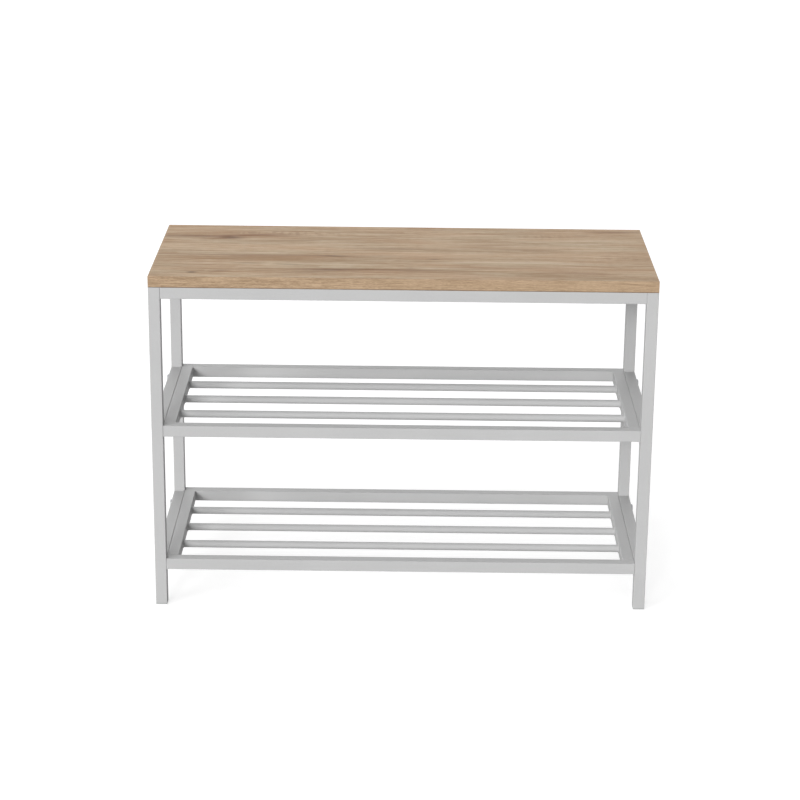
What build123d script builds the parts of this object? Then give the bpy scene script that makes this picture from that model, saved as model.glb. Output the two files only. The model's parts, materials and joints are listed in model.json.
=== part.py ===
"""Entryway bench: an oak faced seat board on a bolted steel tube frame with two rod shelves.

Millimetres. X runs along the bench, Y from front to back and Z up. The origin is on the floor,
under the middle of the bench.
"""
import os

from build123d import *

# Overall size
bench_width = 650.0
bench_depth = 268.0
seat_height = 452.5

# Seat board and the bands glued to its four edges
board_thickness = 15.0
band_thickness = 1.0
band_edge_radius = 0.6

# Square tube of the legs and rails
tube_size = 15.0
tube_wall = 1.2
tube_corner = 0.8
bore_corner = 0.4

# Shelves: the top face of the low shelf's rails, and the step from one level to the next
low_shelf_height = 65.5
level_step = 186.0

# Round rods of a shelf, spread between its front and back rails with equal gaps
rod_diameter = 10.0
rod_wall = 1.0
rod_names = ["front", "centre", "back"]

# The bolted frames are a little narrower than the space between the side frames
joint_gap = 0.2

# Bolts that join each frame to the side frames, measured from the front and back faces
bolt_inset = 45.0
bolt_diameter = 6.0
bolt_length = 25.0
bolt_head_diameter = 12.0
bolt_head_height = 2.5
bolt_head_round = 1.2
bolt_socket_width = 4.0
bolt_socket_depth = 1.6
bolt_hole_diameter = 6.6

# Threaded inserts in the end rails: a thin flange outside the wall and a barrel behind it
insert_flange_diameter = 11.0
insert_barrel_diameter = 9.0
insert_length = 11.0

# Screws that hold the board, up through the top walls of the top frame's front and back rails,
# each with a wider hole below it for the driver
screw_places = [-220.0, 0.0, 220.0]
screw_diameter = 4.0
screw_length = 12.0
screw_head_diameter = 8.0
screw_head_height = 2.4
screw_head_round = 1.0
screw_slot_length = 4.4
screw_slot_width = 1.0
screw_slot_depth = 1.2
screw_hole_diameter = 4.6
driver_hole_diameter = 9.5

# Plastic caps that close the legs at the floor
cap_flange_height = 2.0
cap_edge_radius = 0.5
cap_core_size = 11.2
cap_core_height = 12.0
cap_rib_count = 3
cap_rib_height = 1.2

# Places worked out from the sizes above
half_width = bench_width / 2
half_depth = bench_depth / 2
frame_top = seat_height - board_thickness
level_tops = {
    "low": low_shelf_height,
    "mid": low_shelf_height + level_step,
    "top": frame_top,
}
leg_x = half_width - tube_size / 2
leg_y = half_depth - tube_size / 2
side_inner_x = half_width - tube_size
rail_inner_y = half_depth - tube_size
frame_outer_x = side_inner_x - joint_gap
end_rail_x = frame_outer_x - tube_size / 2
rod_end_x = frame_outer_x - tube_size
bolt_y = half_depth - bolt_inset
tube_bore = tube_size - 2 * tube_wall
sides = {"left": -1, "right": 1}
faces = {"front": -1, "back": 1}


def level_middle(level):
    """Height of the middle of the rails at a level."""
    return level_tops[level] - tube_size / 2


def square_tube(length, plane):
    """A square tube with rounded corners, centred on the origin and square to the plane."""
    outside = RectangleRounded(tube_size, tube_size, tube_corner)
    inside = RectangleRounded(tube_bore, tube_bore, bore_corner)
    return extrude(plane * (outside - inside), amount=length / 2, both=True)


def round_bar(diameter, length, plane):
    """A round bar that starts on the plane and runs along its normal."""
    return extrude(plane * Circle(diameter / 2), amount=length)


def make_leg(x, y):
    """A leg tube, from the top of its foot cap to the underside of the board."""
    length = frame_top - cap_flange_height
    return Pos(x, y, cap_flange_height + length / 2) * square_tube(length, Plane.XY)


def make_side_rail(side, level):
    """A side frame's rail, between its legs, drilled for two bolts."""
    rail = Pos(side * leg_x, 0, level_middle(level)) * square_tube(2 * rail_inner_y, Plane.XZ)
    for y in (-bolt_y, bolt_y):
        start = Plane((side * leg_x - tube_size, y, level_middle(level)), z_dir=(1, 0, 0))
        rail -= round_bar(bolt_hole_diameter, 2 * tube_size, start)
    return rail


def make_long_rail(face, level):
    """A frame's front or back rail, which fills the space between two legs."""
    rail = Pos(0, face * leg_y, level_middle(level)) * square_tube(2 * frame_outer_x, Plane.YZ)
    if level == "top":
        for x in screw_places:
            middle = Plane((x, face * leg_y, level_middle(level)))
            rail -= round_bar(screw_hole_diameter, tube_size, middle)
            rail -= round_bar(driver_hole_diameter, -tube_size, middle)
    return rail


def make_end_rail(side, level):
    """A frame's end rail, with two holes in its outer wall for the threaded inserts."""
    rail = Pos(side * end_rail_x, 0, level_middle(level)) * square_tube(2 * rail_inner_y, Plane.XZ)
    for y in (-bolt_y, bolt_y):
        start = Plane((side * frame_outer_x, y, level_middle(level)), z_dir=(-side, 0, 0))
        rail -= round_bar(insert_barrel_diameter, tube_size / 2, start)
    return rail


def make_rod(y, level):
    """A shelf rod, a round tube between the two end rails."""
    start = Plane((-rod_end_x, y, level_middle(level)), z_dir=(1, 0, 0))
    outside = round_bar(rod_diameter, 2 * rod_end_x, start)
    return outside - round_bar(rod_diameter - 2 * rod_wall, 2 * rod_end_x, start)


def make_bolt(side, y, level):
    """A bolt with a low round head and a hexagon socket, put in from outside."""
    seat = Plane((side * half_width, y, level_middle(level)), z_dir=(side, 0, 0))
    head = round_bar(bolt_head_diameter, bolt_head_height, seat)
    head = fillet(head.edges().sort_by(Axis.X)[-1 if side > 0 else 0], bolt_head_round)
    socket_floor = seat.offset(bolt_head_height - bolt_socket_depth)
    socket = RegularPolygon(bolt_socket_width / 2, 6, major_radius=False)
    head -= extrude(socket_floor * socket, amount=bolt_socket_depth)
    shank = extrude(seat * Circle(bolt_diameter / 2), amount=-bolt_length)
    return head + shank


def make_insert(side, y, level):
    """A threaded insert: its flange fills the gap between the side rail and the end rail."""
    mouth = Plane((side * side_inner_x, y, level_middle(level)), z_dir=(-side, 0, 0))
    flange = round_bar(insert_flange_diameter, joint_gap, mouth)
    barrel = round_bar(insert_barrel_diameter, joint_gap + insert_length, mouth)
    return flange + barrel - round_bar(bolt_diameter, joint_gap + insert_length, mouth)


def make_screw(x, y):
    """A board screw: a round head under the rail's top wall, with a cross slot, and a plain shank."""
    seat = Plane((x, y, frame_top - tube_wall), z_dir=(0, 0, -1))
    head = round_bar(screw_head_diameter, screw_head_height, seat)
    head = fillet(head.edges().sort_by(Axis.Z)[0], screw_head_round)
    slot_floor = seat.offset(screw_head_height - screw_slot_depth)
    slot = Rectangle(screw_slot_length, screw_slot_width)
    slot += Rectangle(screw_slot_width, screw_slot_length)
    head -= extrude(slot_floor * slot, amount=screw_slot_depth)
    return head + extrude(seat * Circle(screw_diameter / 2), amount=-screw_length)


def make_board():
    """The seat board inside its edge bands, with a blind hole over each screw."""
    middle = frame_top + board_thickness / 2
    board_width = bench_width - 2 * band_thickness
    board_depth = bench_depth - 2 * band_thickness
    board = Pos(0, 0, middle) * Box(board_width, board_depth, board_thickness)
    hole_depth = screw_length - tube_wall
    for x in screw_places:
        for face in faces.values():
            board -= round_bar(screw_diameter, hole_depth, Plane((x, face * leg_y, frame_top)))
    return board


def make_long_band(face):
    """The band on the board's front or back edge, its two outer edges eased."""
    middle = frame_top + board_thickness / 2
    band = Box(bench_width, band_thickness, board_thickness)
    band = Pos(0, face * (half_depth - band_thickness / 2), middle) * band
    outer_edges = band.faces().sort_by(Axis.Y)[-1 if face > 0 else 0].edges().filter_by(Axis.X)
    return fillet(outer_edges, band_edge_radius)


def make_short_band(side):
    """The band on the board's left or right edge, between the two long bands."""
    middle = frame_top + board_thickness / 2
    band = Box(band_thickness, bench_depth - 2 * band_thickness, board_thickness)
    band = Pos(side * (half_width - band_thickness / 2), 0, middle) * band
    outer_edges = band.faces().sort_by(Axis.X)[-1 if side > 0 else 0].edges().filter_by(Axis.Y)
    return fillet(outer_edges, band_edge_radius)


def make_foot_cap(x, y):
    """A plastic foot: a flange as wide as the tube and a ribbed plug inside it."""
    flange_shape = RectangleRounded(tube_size, tube_size, tube_corner)
    flange = extrude(Pos(x, y, 0) * flange_shape, amount=cap_flange_height)
    flange = fillet(flange.faces().sort_by(Axis.Z)[0].edges(), cap_edge_radius)
    core_shape = Rectangle(cap_core_size, cap_core_size)
    cap = flange + extrude(Pos(x, y, cap_flange_height) * core_shape, amount=cap_core_height)
    rib_shape = RectangleRounded(tube_bore, tube_bore, bore_corner)
    rib_step = cap_core_height / (cap_rib_count + 1)
    for number in range(cap_rib_count):
        rib_bottom = cap_flange_height + (number + 1) * rib_step
        cap += extrude(Pos(x, y, rib_bottom) * rib_shape, amount=cap_rib_height)
    return cap


def rod_positions():
    """Depth of each rod, with equal clear gaps between the rods and the two rails."""
    count = len(rod_names)
    gap = (2 * rail_inner_y - count * rod_diameter) / (count + 1)
    first = -rail_inner_y + gap + rod_diameter / 2
    return [first + number * (gap + rod_diameter) for number in range(count)]


nodes = {"seat_board": make_board()}

for face_name, face in faces.items():
    nodes[f"edge_band_{face_name}"] = make_long_band(face)
for side_name, side in sides.items():
    nodes[f"edge_band_{side_name}"] = make_short_band(side)

for side_name, side in sides.items():
    for face_name, face in faces.items():
        nodes[f"leg_{face_name}_{side_name}"] = make_leg(side * leg_x, face * leg_y)
        nodes[f"foot_cap_{face_name}_{side_name}"] = make_foot_cap(side * leg_x, face * leg_y)

for level in level_tops:
    frame_name = "top_frame" if level == "top" else f"{level}_shelf"
    for face_name, face in faces.items():
        nodes[f"{frame_name}_{face_name}_rail"] = make_long_rail(face, level)
    for side_name, side in sides.items():
        nodes[f"side_rail_{level}_{side_name}"] = make_side_rail(side, level)
        nodes[f"{frame_name}_end_{side_name}"] = make_end_rail(side, level)
    if level != "top":
        for rod_name, y in zip(rod_names, rod_positions()):
            nodes[f"{frame_name}_rod_{rod_name}"] = make_rod(y, level)
    bolt_spots = [(side, y) for side in sides.values() for y in (-bolt_y, bolt_y)]
    nodes[f"frame_bolts_{level}"] = Compound([make_bolt(side, y, level) for side, y in bolt_spots])
    nodes[f"thread_inserts_{level}"] = Compound([make_insert(side, y, level) for side, y in bolt_spots])

screw_spots = [(x, face * leg_y) for x in screw_places for face in faces.values()]
nodes["board_screws"] = Compound([make_screw(x, y) for x, y in screw_spots])

os.makedirs("parts", exist_ok=True)
for name, shape in nodes.items():
    export_step(shape, f"parts/{name}.step")
print(len(nodes), "nodes written")
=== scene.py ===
"""Looks of the entryway bench: its finishes, weld beads, studio light and camera."""
import json
import math

import bmesh
import bpy
from mathutils import Matrix, Vector


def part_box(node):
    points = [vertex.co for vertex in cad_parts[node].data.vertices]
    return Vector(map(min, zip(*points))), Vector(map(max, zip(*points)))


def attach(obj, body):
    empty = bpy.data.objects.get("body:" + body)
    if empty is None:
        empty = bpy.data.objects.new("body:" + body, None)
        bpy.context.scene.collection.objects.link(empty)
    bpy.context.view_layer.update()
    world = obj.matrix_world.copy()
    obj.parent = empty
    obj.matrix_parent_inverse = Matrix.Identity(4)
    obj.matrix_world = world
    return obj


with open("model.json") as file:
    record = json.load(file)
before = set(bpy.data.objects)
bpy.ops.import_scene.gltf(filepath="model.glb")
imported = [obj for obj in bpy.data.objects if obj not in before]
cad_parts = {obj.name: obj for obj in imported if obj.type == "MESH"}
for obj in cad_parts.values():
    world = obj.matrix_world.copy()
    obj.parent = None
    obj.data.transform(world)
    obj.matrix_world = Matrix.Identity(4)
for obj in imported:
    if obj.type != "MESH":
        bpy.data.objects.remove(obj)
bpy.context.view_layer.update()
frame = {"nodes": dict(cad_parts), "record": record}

MM = 0.001
BODY = "root"

# Weld beads: their radius, how much they swell, the length of one ripple and of one step along the
# bead, the number of sides, and the share of the radius that is left at an open end
BEAD_RADIUS = 1.2 * MM
BEAD_SWELL = 0.10
BEAD_RIPPLE = 2.0 * MM
BEAD_STEP = 0.5 * MM
BEAD_SIDES = 10
BEAD_END = 0.45

# Camera worked out from the bench's straight edges in the photograph, an 800 by 800 image
CAMERA_PLACE = Vector((0.0053, -2.8850, 1.2119))
CAMERA_PITCH = math.radians(18.517)
CAMERA_YAW = math.radians(-0.170)
CAMERA_ROLL = math.radians(-0.583)
IMAGE_SIZE = 800
FOCAL_PIXELS = 2247.3
SENSOR_WIDTH = 36.0

# Studio light: a soft surround that is fuller on one side, and a floor that shows white
SURROUND_DIRECTION = (-1.0, 0.0, 0.0)
SURROUND_FULL = 0.68
SURROUND_DIM = 0.22
FLOOR_SIZE = 30.0
FLOOR_COLOUR = (0.55, 0.55, 0.55, 1.0)
FLOOR_LIFT = 0.66

# Soft lamps: the way from the bench to the lamp, its strength, and how wide it looks in degrees
LAMPS = {
    "left_lamp": ((-0.65, -0.60, 0.45), 1.0, 30.0),
    "front_lamp": ((-0.26, -1.0, 0.27), 1.7, 16.0),
    "back_lamp": ((-0.15, 1.0, 0.40), 1.1, 40.0),
}

# Display colours, from 0 to 255. Where there are two, the finish runs from the first to the second
PAINT = (185, 185, 185), (189, 189, 189)
OAK_GREY = (150, 118, 83), (198, 179, 152)
OAK_WARM = (153, 116, 79), (201, 177, 148)
OAK_BLUSH = (187, 152, 119)
OAK_PALER_END = (180, 165, 150)
OAK_BROWN = (104, 62, 26)
OAK_CRACK = (60, 38, 20)
OAK_PORE = (90, 66, 48)
BACKING = (160, 160, 160), (170, 170, 170)
BAND = (150, 126, 100), (189, 163, 135)
# Lower edge of the bands: a dark glue line with painted shade of the seam below it
BAND_GLUE_AND_SHADE = (96, 72, 52)
PLASTIC = (160, 162, 161), (172, 174, 173)
ZINC = (150, 151, 154), (178, 179, 181)

# Figure of the seat board, mark by mark. Each mark has its place along and across the board from
# the middle, half its length and width, its turn in degrees and its strength. Lengths in millimetres
BOARD_REACH = 300.0
BACKING_THICKNESS = 0.3
GRAIN_SWAY = 10.0
GRAIN_RINGS = 12.0
KNOT = (-238, 70, 30, 15, 3, 0.95)
KNOT_REACH = (-238, 70, 95, 34, 0, 0.60)
DARK_ZONES = [
    (-255, 84, 130, 18, 0, 0.7),
    (-150, -40, 190, 16, 0, 0.8),
    (-60, -98, 240, 16, 0, 0.7),
    (190, -98, 140, 20, 0, 0.6),
]
PALE_ZONES = [
    (-180, 22, 190, 30, 0, 0.7),
    (-190, -64, 150, 9, 0, 0.8),
    (150, -52, 130, 16, 0, 0.7),
    (270, 45, 90, 45, 0, 0.6),
]
STREAKS = [
    (-205, 81, 60, 9, 6, 0.70),
    (-280, 73, 90, 9, 0, 0.65),
    (-185, 78, 60, 7, 0, 0.45),
    (-170, -24, 210, 4, 0, 0.65),
    (-212, -27, 18, 7, 0, 0.45),
    (0, 15, 72, 6, 0, 0.45),
    (150, 19, 72, 6, 1, 0.40),
    (112, 37, 60, 4, 1, 0.40),
    (-95, 43, 130, 3, 2, 0.38),
    (-125, 57, 130, 3, 2, 0.38),
    (-94, -93, 60, 8, 0, 0.75),
    (-35, -92, 110, 6, 0, 0.65),
    (9, -91, 16, 14, 0, 0.45),
    (-120, -106, 30, 14, 0, 0.25),
    (-236, -104, 16, 6, 4, 0.60),
    (288, 116, 46, 8, 0, 0.60),
    (110, -78, 90, 6, 1, 0.30),
    (225, -98, 50, 8, -3, 0.35),
]
CRACKS = [
    (-232, 68, 14, 4, 2, 0.45),
    (-92, -25, 22, 3.5, 0, 0.70),
    (-198, -65, 26, 3, 0, 0.40),
    (-152, -68, 22, 3, -1, 0.55),
    (-94, -94, 26, 3.5, 0, 0.45),
    (-271, -112, 8, 4.5, 4, 0.80),
    (40, -35, 9, 3, 0, 0.55),
    (243, 95, 14, 3, 0, 0.35),
]
RIPPLES = [
    (-165, 91, 95, 14, 0, 0.50),
    (185, 89, 50, 14, 0, 0.25),
    (280, -22, 55, 18, 0, 0.20),
]

# Figure of the edge bands, in the same form, with heights from the lower edge
BAND_SWAY = 3.0
BAND_DARK = [
    (-313, 6.0, 14, 1.0, 0, 0.95),
    (-288, 5.0, 20, 0.9, 0, 0.75),
    (-288, 13.0, 14, 1.2, 0, 0.75),
    (-192, 12.0, 16, 1.1, -2, 0.80),
    (296, 10.5, 34, 1.0, -5, 1.00),
]
BAND_PALE = [
    (14, 2.6, 52, 1.0, 0, 0.90),
    (-8, 7.0, 14, 1.0, 0, 0.80),
    (290, 12.6, 36, 1.0, -5, 0.90),
]


class Graph:
    """A material's nodes, with short calls that add and join them."""

    def __init__(self, name):
        self.material = bpy.data.materials.new(name)
        self.material.use_nodes = True
        self.nodes = self.material.node_tree.nodes
        self.links = self.material.node_tree.links
        self.shader = self.nodes["Principled BSDF"]
        self.place = self.add("ShaderNodeTexCoord").outputs["Object"]

    def add(self, kind, values=None, **settings):
        """Adds a node. A value is a number or colour, or the output of another node."""
        node = self.nodes.new(kind)
        for name, setting in settings.items():
            setattr(node, name, setting)
        for key, value in (values or {}).items():
            self.put(node.inputs[key], value)
        return node

    def put(self, socket, value):
        """Sets a socket to a constant, or joins an output to it."""
        if isinstance(value, bpy.types.NodeSocket):
            self.links.new(value, socket)
        else:
            socket.default_value = value

    def finish(self, **values):
        """Sets sockets of the shader, named in small letters with an underscore for each space."""
        sockets = {socket.name.lower().replace(" ", "_"): socket for socket in self.shader.inputs}
        for name, value in values.items():
            self.put(sockets[name], value)

    def math(self, operation, first, second=0.0, third=0.0, clamp=False):
        """One sum on two or three numbers."""
        values = {0: first, 1: second, 2: third}
        return self.add("ShaderNodeMath", values, operation=operation, use_clamp=clamp).outputs[0]

    def axes(self):
        """The three coordinates of the point, in metres in the bench's frame."""
        return self.add("ShaderNodeSeparateXYZ", {0: self.place}).outputs

    def vector(self, x, y):
        """A flat vector from two numbers."""
        return self.add("ShaderNodeCombineXYZ", {0: x, 1: y}).outputs[0]

    def noise(self, vector, scale=1.0, detail=2.0):
        """Soft noise from 0 to 1."""
        values = {"Vector": vector, "Scale": scale, "Detail": detail}
        return self.add("ShaderNodeTexNoise", values).outputs["Fac"]

    def stretched(self, grain, length, width, detail):
        """Noise with soft patches of about the given length and width, in the units of the grain."""
        shape = self.add("ShaderNodeMapping", {0: grain, "Scale": (1 / length, 1 / width, 1.0)})
        return self.noise(shape.outputs[0], detail=detail)

    def marks(self, grain, places):
        """Soft spots, each at a place with its half length, half width, turn and strength."""
        most = 0.0
        for along, across, half_length, half_width, turn, strength in places:
            values = {
                0: grain,
                "Location": (along, across, 0.0),
                "Rotation": (0.0, 0.0, math.radians(turn)),
                "Scale": (half_length, half_width, 1.0),
            }
            local = self.add("ShaderNodeMapping", values, vector_type="TEXTURE").outputs[0]
            far = self.add("ShaderNodeVectorMath", {0: local}, operation="LENGTH").outputs["Value"]
            most = self.math("MAXIMUM", most, self.spread(far, 0.0, 1.3, strength, 0.0))
        return most

    def spread(self, value, low, high, to_low=0.0, to_high=1.0):
        """Maps a value from one range to another, smoothly, and holds it there."""
        values = {0: value, 1: low, 2: high, 3: to_low, 4: to_high}
        return self.add("ShaderNodeMapRange", values, interpolation_type="SMOOTHSTEP").outputs[0]

    def layer(self, tone, noise, weight):
        """Adds noise to a tone, by how far the noise is from its middle."""
        return self.math("MULTIPLY_ADD", self.math("SUBTRACT", noise, 0.5), weight, tone)

    def mix(self, share, first, second):
        """A colour between two colours."""
        node = self.add("ShaderNodeMix", data_type="RGBA")
        self.put(node.inputs["Factor"], share)
        self.put(node.inputs[6], first)
        self.put(node.inputs[7], second)
        return node.outputs[2]

    def shade(self, tone, colours):
        """A colour between two display colours."""
        return self.mix(tone, srgb(colours[0]), srgb(colours[1]))

    def bump(self, height, strength, distance):
        """Presses a height into the shader's normal."""
        values = {"Height": height, "Strength": strength, "Distance": distance}
        self.finish(normal=self.add("ShaderNodeBump", values).outputs[0])


def srgb(colour):
    """A display colour as the linear colour that a shader takes."""
    linear = [((part / 255 + 0.055) / 1.055) ** 2.4 for part in colour]
    return (*linear, 1.0)


def grey_paint():
    """Satin powder coat on steel tube: a fine orange peel and faint changes of tone."""
    g = Graph("grey_paint")
    cloud = g.noise(g.place, scale=14.0, detail=3.0)
    speckle = g.noise(g.place, scale=420.0)
    tone = g.math("MULTIPLY_ADD", speckle, 0.35, g.math("MULTIPLY", cloud, 0.65))
    g.finish(
        base_color=g.shade(g.spread(tone, 0.3, 0.7), PAINT),
        roughness=g.spread(cloud, 0.3, 0.7, 0.46, 0.54),
        specular_ior_level=0.03,
    )
    g.bump(g.noise(g.place, scale=900.0), strength=0.06, distance=0.2 * MM)
    return g.material


def oak_board():
    """Oak decor over a plain backing sheet: long grain that bends round a knot, streaks and cracks."""
    g = Graph("oak_board")
    x, y, z = g.axes()
    along = g.math("MULTIPLY", x, 1 / MM)
    across = g.math("MULTIPLY", y, 1 / MM)
    height = g.math("MULTIPLY", g.math("SUBTRACT", z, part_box("seat_board")[0][2]), 1 / MM)
    faced = g.spread(height, BACKING_THICKNESS / 3, BACKING_THICKNESS)
    sway = g.stretched(g.vector(along, across), length=200.0, width=83.3, detail=2.0)
    across = g.layer(across, sway, GRAIN_SWAY)
    flat = g.vector(along, across)
    from_knot = g.math("SUBTRACT", across, KNOT[1])
    bend = g.math("MULTIPLY", from_knot, g.marks(flat, [KNOT_REACH]))
    grain = g.vector(along, g.math("SUBTRACT", across, bend))

    bands = g.stretched(grain, length=600.0, width=24.0, detail=2.0)
    streaks = g.stretched(grain, length=190.0, width=6.0, detail=3.0)
    lines = g.stretched(grain, length=70.0, width=4.0, detail=0.0)
    fibres = g.stretched(grain, length=60.0, width=0.9, detail=3.0)
    flecks = g.stretched(grain, length=13.0, width=2.2, detail=2.0)
    pores = g.spread(g.stretched(grain, length=12.0, width=0.4, detail=1.0), 0.58, 0.70)
    waves = g.stretched(grain, length=700.0, width=34.0, detail=1.0)
    rings = g.math("POWER", g.math("FRACT", g.math("MULTIPLY", waves, GRAIN_RINGS)), 3.0)

    tone = g.spread(bands, 0.25, 0.75, 0.385, 0.785)
    tone = g.layer(tone, streaks, g.spread(along, 0.0, BOARD_REACH, 0.75, 0.6))
    tone = g.layer(tone, lines, 0.95)
    tone = g.layer(tone, fibres, 0.9)
    tone = g.layer(tone, flecks, 0.8)
    tone = g.math("MULTIPLY_ADD", rings, -0.27, tone)
    tone = g.math("MULTIPLY_ADD", g.marks(flat, PALE_ZONES), 0.40, tone)
    tone = g.math("MULTIPLY_ADD", g.marks(flat, DARK_ZONES), -0.45, tone, clamp=True)

    warmth = g.spread(g.stretched(grain, length=200.0, width=34.0, detail=4.0), 0.35, 0.65)
    colour = g.mix(warmth, g.shade(tone, OAK_GREY), g.shade(tone, OAK_WARM))
    blush = g.spread(g.stretched(grain, length=150.0, width=30.0, detail=2.0), 0.45, 0.75, 0.0, 0.35)
    colour = g.mix(blush, colour, srgb(OAK_BLUSH))
    # The board turns paler and greyer towards its right end
    paler_to_right = g.spread(along, -100.0, BOARD_REACH, 0.0, 0.10)
    colour = g.mix(paler_to_right, colour, srgb(OAK_PALER_END))

    curls = g.spread(g.stretched(flat, length=7.0, width=26.0, detail=1.0), 0.42, 0.66)
    ripple = g.math("MULTIPLY", curls, g.marks(flat, RIPPLES))
    uneven = g.spread(streaks, 0.30, 0.70, 0.50, 1.00)
    brown = g.math("MAXIMUM", g.marks(flat, [KNOT]), g.marks(flat, STREAKS))
    brown = g.math("MULTIPLY", g.math("MAXIMUM", brown, ripple), uneven, clamp=True)
    colour = g.mix(brown, colour, srgb(OAK_BROWN))
    broken = g.spread(fibres, 0.35, 0.60, 0.4, 1.2)
    split = g.math("MULTIPLY", g.marks(flat, CRACKS), broken, clamp=True)
    colour = g.mix(split, colour, srgb(OAK_CRACK))
    colour = g.mix(g.math("MULTIPLY", pores, 0.30), colour, srgb(OAK_PORE))

    backing = g.shade(g.noise(g.place, scale=700.0), BACKING)
    g.finish(
        base_color=g.mix(faced, backing, colour),
        roughness=g.spread(fibres, 0.3, 0.7, 0.52, 0.62),
        specular_ior_level=0.03,
    )
    relief = g.math("MULTIPLY_ADD", pores, -0.6, fibres)
    g.bump(g.math("MULTIPLY", relief, faced), strength=0.25, distance=0.2 * MM)
    return g.material


def oak_band():
    """Oak decor of the edge bands: short fine streaks in a warmer tone, darker on the lower edge: a glue
    line and painted shade.
    """
    g = Graph("oak_band")
    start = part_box("edge_band_front")[0]
    x, y, z = g.axes()
    along = g.math("MULTIPLY", g.math("SUBTRACT", g.math("ADD", x, y), start[1]), 1 / MM)
    height = g.math("MULTIPLY", g.math("SUBTRACT", z, start[2]), 1 / MM)
    flat = g.vector(along, height)
    sway = g.stretched(flat, length=50.0, width=20.0, detail=2.0)
    grain = g.vector(along, g.layer(height, sway, BAND_SWAY))

    fibres = g.stretched(grain, length=4.0, width=0.5, detail=2.0)
    figure = g.layer(0.0, g.stretched(grain, length=70.0, width=9.0, detail=1.0), 1.2)
    figure = g.layer(figure, g.stretched(grain, length=45.0, width=1.0, detail=2.0), 2.3)
    figure = g.layer(figure, g.stretched(grain, length=13.0, width=1.0, detail=2.0), 2.3)
    figure = g.layer(figure, fibres, 2.2)
    lively = g.spread(along, -BOARD_REACH, BOARD_REACH, 1.0, 0.65)
    middle = g.spread(along, -BOARD_REACH, BOARD_REACH, 0.48, 0.58)
    tone = g.math("MULTIPLY_ADD", figure, lively, middle)
    tone = g.math("MULTIPLY_ADD", g.marks(flat, BAND_PALE), 0.4, tone)
    tone = g.math("MULTIPLY_ADD", g.marks(flat, BAND_DARK), -0.5, tone, clamp=True)
    # The lower edge is darker: a glue line, with painted shade of the seam where the band sits on the
    # frame
    edge = g.spread(height, 0.6, 1.4, 0.65, 0.0)
    g.finish(
        base_color=g.mix(edge, g.shade(tone, BAND), srgb(BAND_GLUE_AND_SHADE)),
        roughness=g.spread(fibres, 0.3, 0.7, 0.52, 0.62),
        specular_ior_level=0.06,
    )
    g.bump(fibres, strength=0.2, distance=0.2 * MM)
    return g.material


def foot_plastic():
    """Grey moulded plastic with a fine grain."""
    g = Graph("foot_plastic")
    grain = g.noise(g.place, scale=1500.0)
    g.finish(base_color=g.shade(grain, PLASTIC), roughness=0.6)
    g.bump(grain, strength=0.15, distance=0.1 * MM)
    return g.material


def zinc_steel():
    """Zinc plated steel, slightly cloudy."""
    g = Graph("zinc_steel")
    cloud = g.noise(g.place, scale=260.0, detail=3.0)
    g.finish(
        base_color=g.shade(cloud, ZINC),
        metallic=1.0,
        roughness=g.spread(cloud, 0.3, 0.7, 0.28, 0.45),
    )
    return g.material


def dress_nodes():
    """Gives every solid the finish of its material slot."""
    makers = [oak_board, oak_band, grey_paint, foot_plastic, zinc_steel]
    finishes = {maker.__name__: maker() for maker in makers}
    for part in frame["record"]["subparts"]:
        node = frame["nodes"][part["node"]]
        node.data.materials.clear()
        node.data.materials.append(finishes[part["material_slot"]])
    return finishes


def add_bead(mesh, path, axis, closed):
    """Adds one weld bead, a rippled tube along a path that is square to the axis."""
    turns = [math.tau * side / BEAD_SIDES for side in range(BEAD_SIDES)]
    rings = []
    count = len(path)
    for number, point in enumerate(path):
        before = path[number - 1] if closed or number > 0 else point
        after = path[(number + 1) % count] if closed or number < count - 1 else point
        other = (after - before).normalized().cross(axis)
        ripple = math.sin(math.tau * number * BEAD_STEP / BEAD_RIPPLE)
        radius = BEAD_RADIUS * (1 + BEAD_SWELL * ripple)
        if not closed and number in (0, count - 1):
            radius *= BEAD_END
        spokes = [math.cos(turn) * axis + math.sin(turn) * other for turn in turns]
        rings.append([mesh.verts.new(point + radius * spoke) for spoke in spokes])
    for number in range(count if closed else count - 1):
        near, far = rings[number], rings[(number + 1) % count]
        for side in range(BEAD_SIDES):
            last = side - 1
            mesh.faces.new((near[last], near[side], far[side], far[last]))
    if not closed:
        mesh.faces.new(rings[0][::-1])
        mesh.faces.new(rings[-1])


def straight_path(start, end):
    """Points along a straight line, about a step apart."""
    count = max(2, round((end - start).length / BEAD_STEP))
    return [start.lerp(end, number / count) for number in range(count + 1)]


def ring_path(middle, radius):
    """Points round a circle that is square to the X axis, about a step apart, in whole ripples."""
    count = round(math.tau * radius / BEAD_RIPPLE) * round(BEAD_RIPPLE / BEAD_STEP)
    turns = [math.tau * number / count for number in range(count)]
    return [middle + radius * Vector((0, math.cos(turn), math.sin(turn))) for turn in turns]


def finish_welds(name, mesh, finish):
    """Makes an object of a set of beads, painted like the tubes that they join."""
    bmesh.ops.recalc_face_normals(mesh, faces=mesh.faces)
    for face in mesh.faces:
        face.smooth = True
    data = bpy.data.meshes.new(name)
    mesh.to_mesh(data)
    mesh.free()
    data.materials.append(finish)
    welds = bpy.data.objects.new(name, data)
    bpy.context.scene.collection.objects.link(welds)
    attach(welds, BODY)


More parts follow.
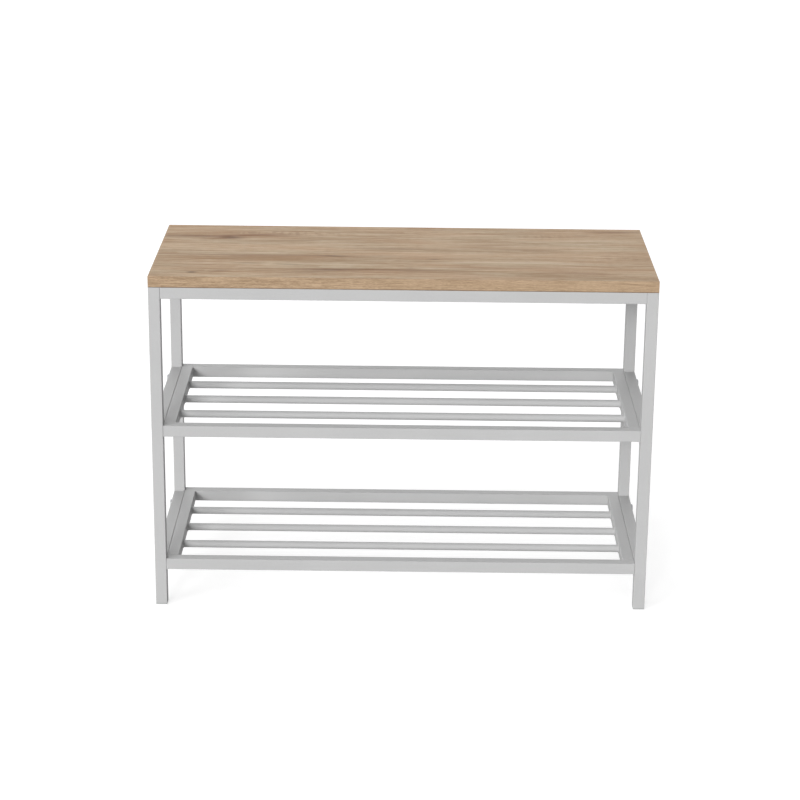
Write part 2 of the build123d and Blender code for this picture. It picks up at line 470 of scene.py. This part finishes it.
def weld_frame(name, finish):
    """Beads of one bolted frame: in its four inner corners and round the ends of its rods."""
    mesh = bmesh.new()
    for side, inner in (("left", 1), ("right", 0)):
        box = [Vector(corner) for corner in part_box(f"{name}_end_{side}")]
        x = box[inner].x
        for y in (box[0].y, box[1].y):
            bottom = Vector((x, y, box[0].z + BEAD_RADIUS))
            top = Vector((x, y, box[1].z - BEAD_RADIUS))
            add_bead(mesh, straight_path(bottom, top), Vector((1, 0, 0)), closed=False)
    for node in frame["nodes"]:
        if node.startswith(f"{name}_rod"):
            low, high = [Vector(corner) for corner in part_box(node)]
            middle = (low + high) / 2
            for x in (low.x, high.x):
                path = ring_path(Vector((x, middle.y, middle.z)), (high.z - low.z) / 2)
                add_bead(mesh, path, Vector((1, 0, 0)), closed=True)
    finish_welds(f"welds_{name}", mesh, finish)


def weld_side(side, finish):
    """Beads of one side frame, above and below its rails at the legs. The board lies on the top rail."""
    mesh = bmesh.new()
    for level in ("low", "mid", "top"):
        low, high = [Vector(corner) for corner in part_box(f"side_rail_{level}_{side}")]
        edges = (low.z,) if level == "top" else (low.z, high.z)
        for y in (low.y, high.y):
            for z in edges:
                start = Vector((low.x + BEAD_RADIUS, y, z))
                end = Vector((high.x - BEAD_RADIUS, y, z))
                add_bead(mesh, straight_path(start, end), Vector((0, 0, 1)), closed=False)
    finish_welds(f"welds_side_{side}", mesh, finish)


def make_camera():
    """The photograph's camera."""
    forward = Vector((
        math.sin(CAMERA_YAW) * math.cos(CAMERA_PITCH),
        math.cos(CAMERA_YAW) * math.cos(CAMERA_PITCH),
        -math.sin(CAMERA_PITCH),
    ))
    level = Vector((math.cos(CAMERA_YAW), -math.sin(CAMERA_YAW), 0))
    down = forward.cross(level)
    right = level * math.cos(CAMERA_ROLL) + down * math.sin(CAMERA_ROLL)
    down = down * math.cos(CAMERA_ROLL) - level * math.sin(CAMERA_ROLL)
    data = bpy.data.cameras.new("camera")
    data.sensor_width = SENSOR_WIDTH
    data.lens = FOCAL_PIXELS / IMAGE_SIZE * SENSOR_WIDTH
    camera = bpy.data.objects.new("camera", data)
    bpy.context.scene.collection.objects.link(camera)
    turn = Matrix((right, -down, -forward)).transposed()
    camera.matrix_world = Matrix.Translation(CAMERA_PLACE) @ turn.to_4x4()
    bpy.context.scene.camera = camera


def make_lamp(name, direction, strength, spread):
    """A soft, far lamp. Its direction points from the bench to the lamp."""
    data = bpy.data.lights.new(name, "SUN")
    data.energy = strength
    data.angle = math.radians(spread)
    lamp = bpy.data.objects.new(name, data)
    bpy.context.scene.collection.objects.link(lamp)
    lamp.rotation_euler = Vector(direction).to_track_quat("Z", "Y").to_euler()


def seen_by_eye(tree):
    """One for rays from the camera, and for what it sees in gloss or through glass. Else zero."""
    path = tree.nodes.new("ShaderNodeLightPath")
    seen = path.outputs["Is Camera Ray"]
    for name in ("Is Glossy Ray", "Is Transmission Ray"):
        either = tree.nodes.new("ShaderNodeMath")
        either.operation = "MAXIMUM"
        tree.links.new(seen, either.inputs[0])
        tree.links.new(path.outputs[name], either.inputs[1])
        seen = either.outputs[0]
    return seen


def make_world():
    """A white surround to the eye. On the bench it is a dimmer soft light, fuller from one side."""
    world = bpy.data.worlds.new("studio")
    bpy.context.scene.world = world
    world.use_nodes = True
    tree = world.node_tree
    background = tree.nodes["Background"]
    background.inputs["Color"].default_value = (1, 1, 1, 1)
    place = tree.nodes.new("ShaderNodeTexCoord")
    facing = tree.nodes.new("ShaderNodeVectorMath")
    facing.operation = "DOT_PRODUCT"
    tree.links.new(place.outputs["Generated"], facing.inputs[0])
    facing.inputs[1].default_value = Vector(SURROUND_DIRECTION).normalized()
    soft = tree.nodes.new("ShaderNodeMapRange")
    tree.links.new(facing.outputs["Value"], soft.inputs["Value"])
    soft.inputs["From Min"].default_value = -1.0
    soft.inputs["From Max"].default_value = 1.0
    soft.inputs["To Min"].default_value = SURROUND_DIM
    soft.inputs["To Max"].default_value = SURROUND_FULL
    strength = tree.nodes.new("ShaderNodeMix")
    tree.links.new(seen_by_eye(tree), strength.inputs["Factor"])
    tree.links.new(soft.outputs[0], strength.inputs["A"])
    strength.inputs["B"].default_value = 1.0
    tree.links.new(strength.outputs[0], background.inputs["Strength"])


def make_floor():
    """A plain pale floor. To the eye it has a little light of its own, so it stays white."""
    bpy.ops.mesh.primitive_plane_add(size=FLOOR_SIZE)
    floor = bpy.context.object
    floor.name = "floor"
    material = bpy.data.materials.new("floor")
    material.use_nodes = True
    tree = material.node_tree
    shader = tree.nodes["Principled BSDF"]
    shader.inputs["Base Color"].default_value = FLOOR_COLOUR
    shader.inputs["Roughness"].default_value = 0.9
    shader.inputs["Specular IOR Level"].default_value = 0.0
    shader.inputs["Emission Color"].default_value = (1, 1, 1, 1)
    lift = tree.nodes.new("ShaderNodeMath")
    lift.operation = "MULTIPLY"
    tree.links.new(seen_by_eye(tree), lift.inputs[0])
    lift.inputs[1].default_value = FLOOR_LIFT
    tree.links.new(lift.outputs[0], shader.inputs["Emission Strength"])
    floor.data.materials.append(material)


finishes = dress_nodes()
for name in ("low_shelf", "mid_shelf", "top_frame"):
    weld_frame(name, finishes["grey_paint"])
for side in ("left", "right"):
    weld_side(side, finishes["grey_paint"])
make_floor()
make_world()
for name, (direction, strength, spread) in LAMPS.items():
    make_lamp(name, direction, strength, spread)
make_camera()
bpy.context.scene.view_settings.view_transform = "Standard"
